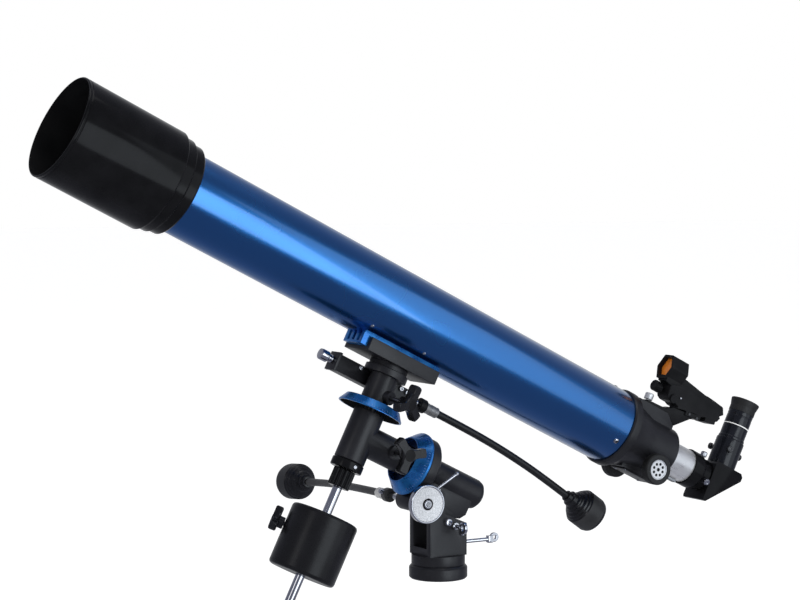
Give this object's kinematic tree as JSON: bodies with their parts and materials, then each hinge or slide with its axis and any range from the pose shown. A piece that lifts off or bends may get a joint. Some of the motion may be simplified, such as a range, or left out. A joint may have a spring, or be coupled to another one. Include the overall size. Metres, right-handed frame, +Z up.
{
  "type": "refractor telescope",
  "caption": "Refractor telescope on a German equatorial head: tube with dew shield, rack focuser, star diagonal, eyepiece, red-dot finder, counterweight and slow-motion cables.",
  "frame": {"origin": "centre of the azimuth base underside, where the tripod bolts on", "axes": "+Z up; the tube points towards -Y and upwards; the silver worm cap is on the +X side"},
  "size_m": [0.3982, 1.0479, 0.663],
  "materials": {
    "tube_paint": "blue metallic gloss lacquer",
    "black_gloss": "black semi-gloss enamel",
    "black_casting": "black satin powder coat on a casting",
    "black_plastic": "moulded, fine texture",
    "blue_anodised": "bright blue metallic",
    "chrome": "polished plating",
    "silver": "sand-blasted silver",
    "bright_tube": "satin chromed tube",
    "steel": "turned steel",
    "rubber": "matt ribbed rubber",
    "grey_sleeve": "dark cable sheath",
    "glass": "coated lens",
    "amber_glass": "amber reflecting window",
    "mirror": "front-silvered"
  },
  "bodies": {
    "azimuth_base": {"azimuth_base": "black_casting"},
    "fork": {"fork": "black_casting", "fork_bolts": "chrome"},
    "polar_housing": {"polar_housing": "black_casting", "worm_end_cap": "silver", "ra_cable": "grey_sleeve"},
    "ra_head": {"dec_housing": "black_casting"},
    "tube": {"dec_head": "black_casting", "saddle": "black_casting", "tube_foot": "tube_paint", "dec_worm_housing": "black_casting", "dec_cable": "grey_sleeve", "main_tube": "tube_paint", "dew_shield": "black_gloss", "lens_cell": "black_gloss", "objective_lenses": "glass", "tube_baffles": "black_plastic", "tube_screws": "chrome", "focuser_housing": "black_plastic", "pinion_cover": "black_plastic", "finder_bracket": "black_plastic", "finder_body": "black_plastic", "finder_lens": "amber_glass", "shaft_collar": "black_casting", "shaft_nut": "black_plastic", "counterweight_shaft": "chrome"},
    "ra_circle": {"ra_circle": "blue_anodised"},
    "dec_circle": {"dec_circle": "blue_anodised"},
    "ra_worm": {"ra_worm_shaft": "chrome", "ra_cable_clamp": "black_casting"},
    "ra_cable_knob": {"ra_cable_knob": "black_plastic"},
    "dec_worm": {"dec_worm_shaft": "chrome", "dec_cable_clamp": "black_casting"},
    "dec_cable_knob": {"dec_cable_knob": "black_plastic"},
    "ra_lock_knob": {"ra_lock_knob": "black_plastic"},
    "dec_lock_knob": {"dec_lock_knob": "black_plastic"},
    "counterweight": {"counterweight": "black_gloss"},
    "counterweight_knob": {"counterweight_knob": "black_plastic"},
    "safety_screw": {"safety_screw": "black_plastic"},
    "latitude_lever": {"latitude_lever": "black_casting"},
    "latitude_bolt": {"latitude_bolt": "chrome"},
    "azimuth_bolt": {"azimuth_bolt": "chrome"},
    "drawtube": {"drawtube": "bright_tube", "focus_rack": "steel", "drawtube_collar": "black_plastic"},
    "focus_pinion": {"pinion_shaft": "steel", "focus_knob_near": "rubber", "focus_knob_far": "rubber"},
    "collar_thumbscrew_top": {"collar_thumbscrew_top": "chrome"},
    "collar_thumbscrew_side": {"collar_thumbscrew_side": "chrome"},
    "diagonal": {"diagonal_housing": "black_plastic", "diagonal_mirror": "mirror"},
    "socket_thumbscrew_near": {"socket_thumbscrew_near": "black_plastic"},
    "socket_thumbscrew_left": {"socket_thumbscrew_left": "black_plastic"},
    "socket_thumbscrew_right": {"socket_thumbscrew_right": "black_plastic"},
    "eyepiece": {"eyepiece_body": "black_gloss", "eyepiece_lenses": "glass", "eyecup": "rubber"},
    "finder_thumbscrew": {"finder_thumbscrew": "chrome"},
    "finder_knob": {"finder_knob": "black_plastic"}
  },
  "joints": [
    {"name": "azimuth_turn", "type": "hinge", "parent": "azimuth_base", "child": "fork", "pos_m": [0, 0, 0], "axis": [0, 0, 1], "continuous": true},
    {"name": "latitude_tilt", "type": "hinge", "parent": "fork", "child": "polar_housing", "pos_m": [0, -0.018, 0.102], "axis": [-1, 0, 0], "range_deg": [-15, 5]},
    {"name": "ra_turn", "type": "hinge", "parent": "polar_housing", "child": "ra_head", "pos_m": [0, -0.115, 0.185], "axis": [0, -0.8949, 0.4462], "range_deg": [-90, 80]},
    {"name": "dec_turn", "type": "hinge", "parent": "ra_head", "child": "tube", "pos_m": [0, -0.115, 0.185], "axis": [0, 0.4462, 0.8949], "continuous": true},
    {"name": "ra_circle_turn", "type": "hinge", "parent": "ra_head", "child": "ra_circle", "pos_m": [0, -0.0434, 0.1493], "axis": [0, -0.8949, 0.4462], "continuous": true},
    {"name": "dec_circle_turn", "type": "hinge", "parent": "tube", "child": "dec_circle", "pos_m": [0, -0.09715, 0.2208], "axis": [0, 0.4462, 0.8949], "continuous": true},
    {"name": "ra_worm_turn", "type": "hinge", "parent": "polar_housing", "child": "ra_worm", "pos_m": [0, -0.04067, 0.10101], "axis": [-1, 0, 0], "continuous": true},
    {"name": "ra_cable_knob_turn", "type": "hinge", "parent": "polar_housing", "child": "ra_cable_knob", "pos_m": [-0.274, -0.03954, 0.09162], "axis": [-0.9955, 0.0112, -0.0937], "continuous": true},
    {"name": "dec_worm_turn", "type": "hinge", "parent": "tube", "child": "dec_worm", "pos_m": [-0.027, -0.08131, 0.25257], "axis": [0, 0.8949, -0.4462], "continuous": true},
    {"name": "dec_cable_knob_turn", "type": "hinge", "parent": "tube", "child": "dec_cable_knob", "pos_m": [-0.0298, 0.21721, 0.08484], "axis": [-0.0172, 0.8199, -0.5722], "continuous": true},
    {"name": "ra_lock_turn", "type": "hinge", "parent": "ra_head", "child": "ra_lock_knob", "pos_m": [0.048, -0.07652, 0.16581], "axis": [1, 0, 0], "range_deg": [-20, 540]},
    {"name": "dec_lock_turn", "type": "hinge", "parent": "tube", "child": "dec_lock_knob", "pos_m": [0.04512, -0.07474, 0.22918], "axis": [0.9404, 0.3044, -0.1518], "range_deg": [-20, 540]},
    {"name": "counterweight_slide", "type": "slide", "parent": "tube", "child": "counterweight", "axis": [0, 0.4462, 0.8949], "range_m": [-0.05, 0.034]},
    {"name": "counterweight_knob_turn", "type": "hinge", "parent": "counterweight", "child": "counterweight_knob", "pos_m": [-0.02415, -0.21394, 0.0846], "axis": [-0.4833, -0.7835, 0.3906], "range_deg": [-20, 540]},
    {"name": "safety_screw_turn", "type": "hinge", "parent": "tube", "child": "safety_screw", "pos_m": [0, -0.22432, -0.03426], "axis": [0, -0.4462, -0.8949], "range_deg": [-20, 720]},
    {"name": "latitude_lever_turn", "type": "hinge", "parent": "fork", "child": "latitude_lever", "pos_m": [0, -0.018, 0.102], "axis": [1, 0, 0], "range_deg": [-60, 5]},
    {"name": "latitude_bolt_turn", "type": "hinge", "parent": "fork", "child": "latitude_bolt", "pos_m": [0.03, 0.0095, 0.0678], "axis": [1, 0, 0], "range_deg": [-360, 360]},
    {"name": "azimuth_bolt_turn", "type": "hinge", "parent": "fork", "child": "azimuth_bolt", "pos_m": [0, 0.05, 0.0423], "axis": [0, 1, 0], "range_deg": [-360, 360]},
    {"name": "focus_slide", "type": "slide", "parent": "tube", "child": "drawtube", "axis": [0, 0.8949, -0.4462], "range_m": [-0.012, 0.06]},
    {"name": "pinion_turn", "type": "hinge", "parent": "tube", "child": "focus_pinion", "pos_m": [0, 0.30845, 0.12215], "axis": [1, 0, 0], "range_deg": [-862, 174]},
    {"name": "collar_top_turn", "type": "hinge", "parent": "drawtube", "child": "collar_thumbscrew_top", "pos_m": [0, 0.42248, 0.12676], "axis": [0, 0.4462, 0.8949], "range_deg": [-20, 720]},
    {"name": "collar_side_turn", "type": "hinge", "parent": "drawtube", "child": "collar_thumbscrew_side", "pos_m": [0.02256, 0.40813, 0.09798], "axis": [0.9404, -0.1518, -0.3044], "range_deg": [-20, 720]},
    {"name": "diagonal_turn", "type": "hinge", "parent": "drawtube", "child": "diagonal", "pos_m": [0, 0.43236, 0.09502], "axis": [0, 0.8949, -0.4462], "continuous": true},
    {"name": "socket_near_turn", "type": "hinge", "parent": "diagonal", "child": "socket_thumbscrew_near", "pos_m": [0.01924, 0.45363, 0.13693], "axis": [0.8746, -0.4339, 0.2163], "range_deg": [-20, 720]},
    {"name": "socket_left_turn", "type": "hinge", "parent": "diagonal", "child": "socket_thumbscrew_left", "pos_m": [-0.01886, 0.45303, 0.13723], "axis": [-0.8572, -0.4609, 0.2298], "range_deg": [-20, 720]},
    {"name": "socket_right_turn", "type": "hinge", "parent": "diagonal", "child": "socket_thumbscrew_right", "pos_m": [-0.00038, 0.48286, 0.12236], "axis": [-0.0175, 0.8948, -0.4461], "range_deg": [-20, 720]},
    {"name": "eyepiece_slide", "type": "slide", "parent": "diagonal", "child": "eyepiece", "axis": [0, 0.4462, 0.8949], "range_m": [0, 0.026]},
    {"name": "finder_thumbscrew_turn", "type": "hinge", "parent": "tube", "child": "finder_thumbscrew", "pos_m": [0, 0.32892, 0.21028], "axis": [0, 0.4462, 0.8949], "range_deg": [-20, 720]},
    {"name": "finder_knob_turn", "type": "hinge", "parent": "tube", "child": "finder_knob", "pos_m": [-0.002, 0.34755, 0.22524], "axis": [0, -0.8949, 0.4462], "range_deg": [0, 270]}
  ],
  "couplings": [
    {"joint": "ra_cable_knob_turn", "follows": "ra_worm_turn", "ratio": 1},
    {"joint": "dec_cable_knob_turn", "follows": "dec_worm_turn", "ratio": 1},
    {"joint": "pinion_turn", "follows": "focus_slide", "rad_per_m": -250}
  ]
}
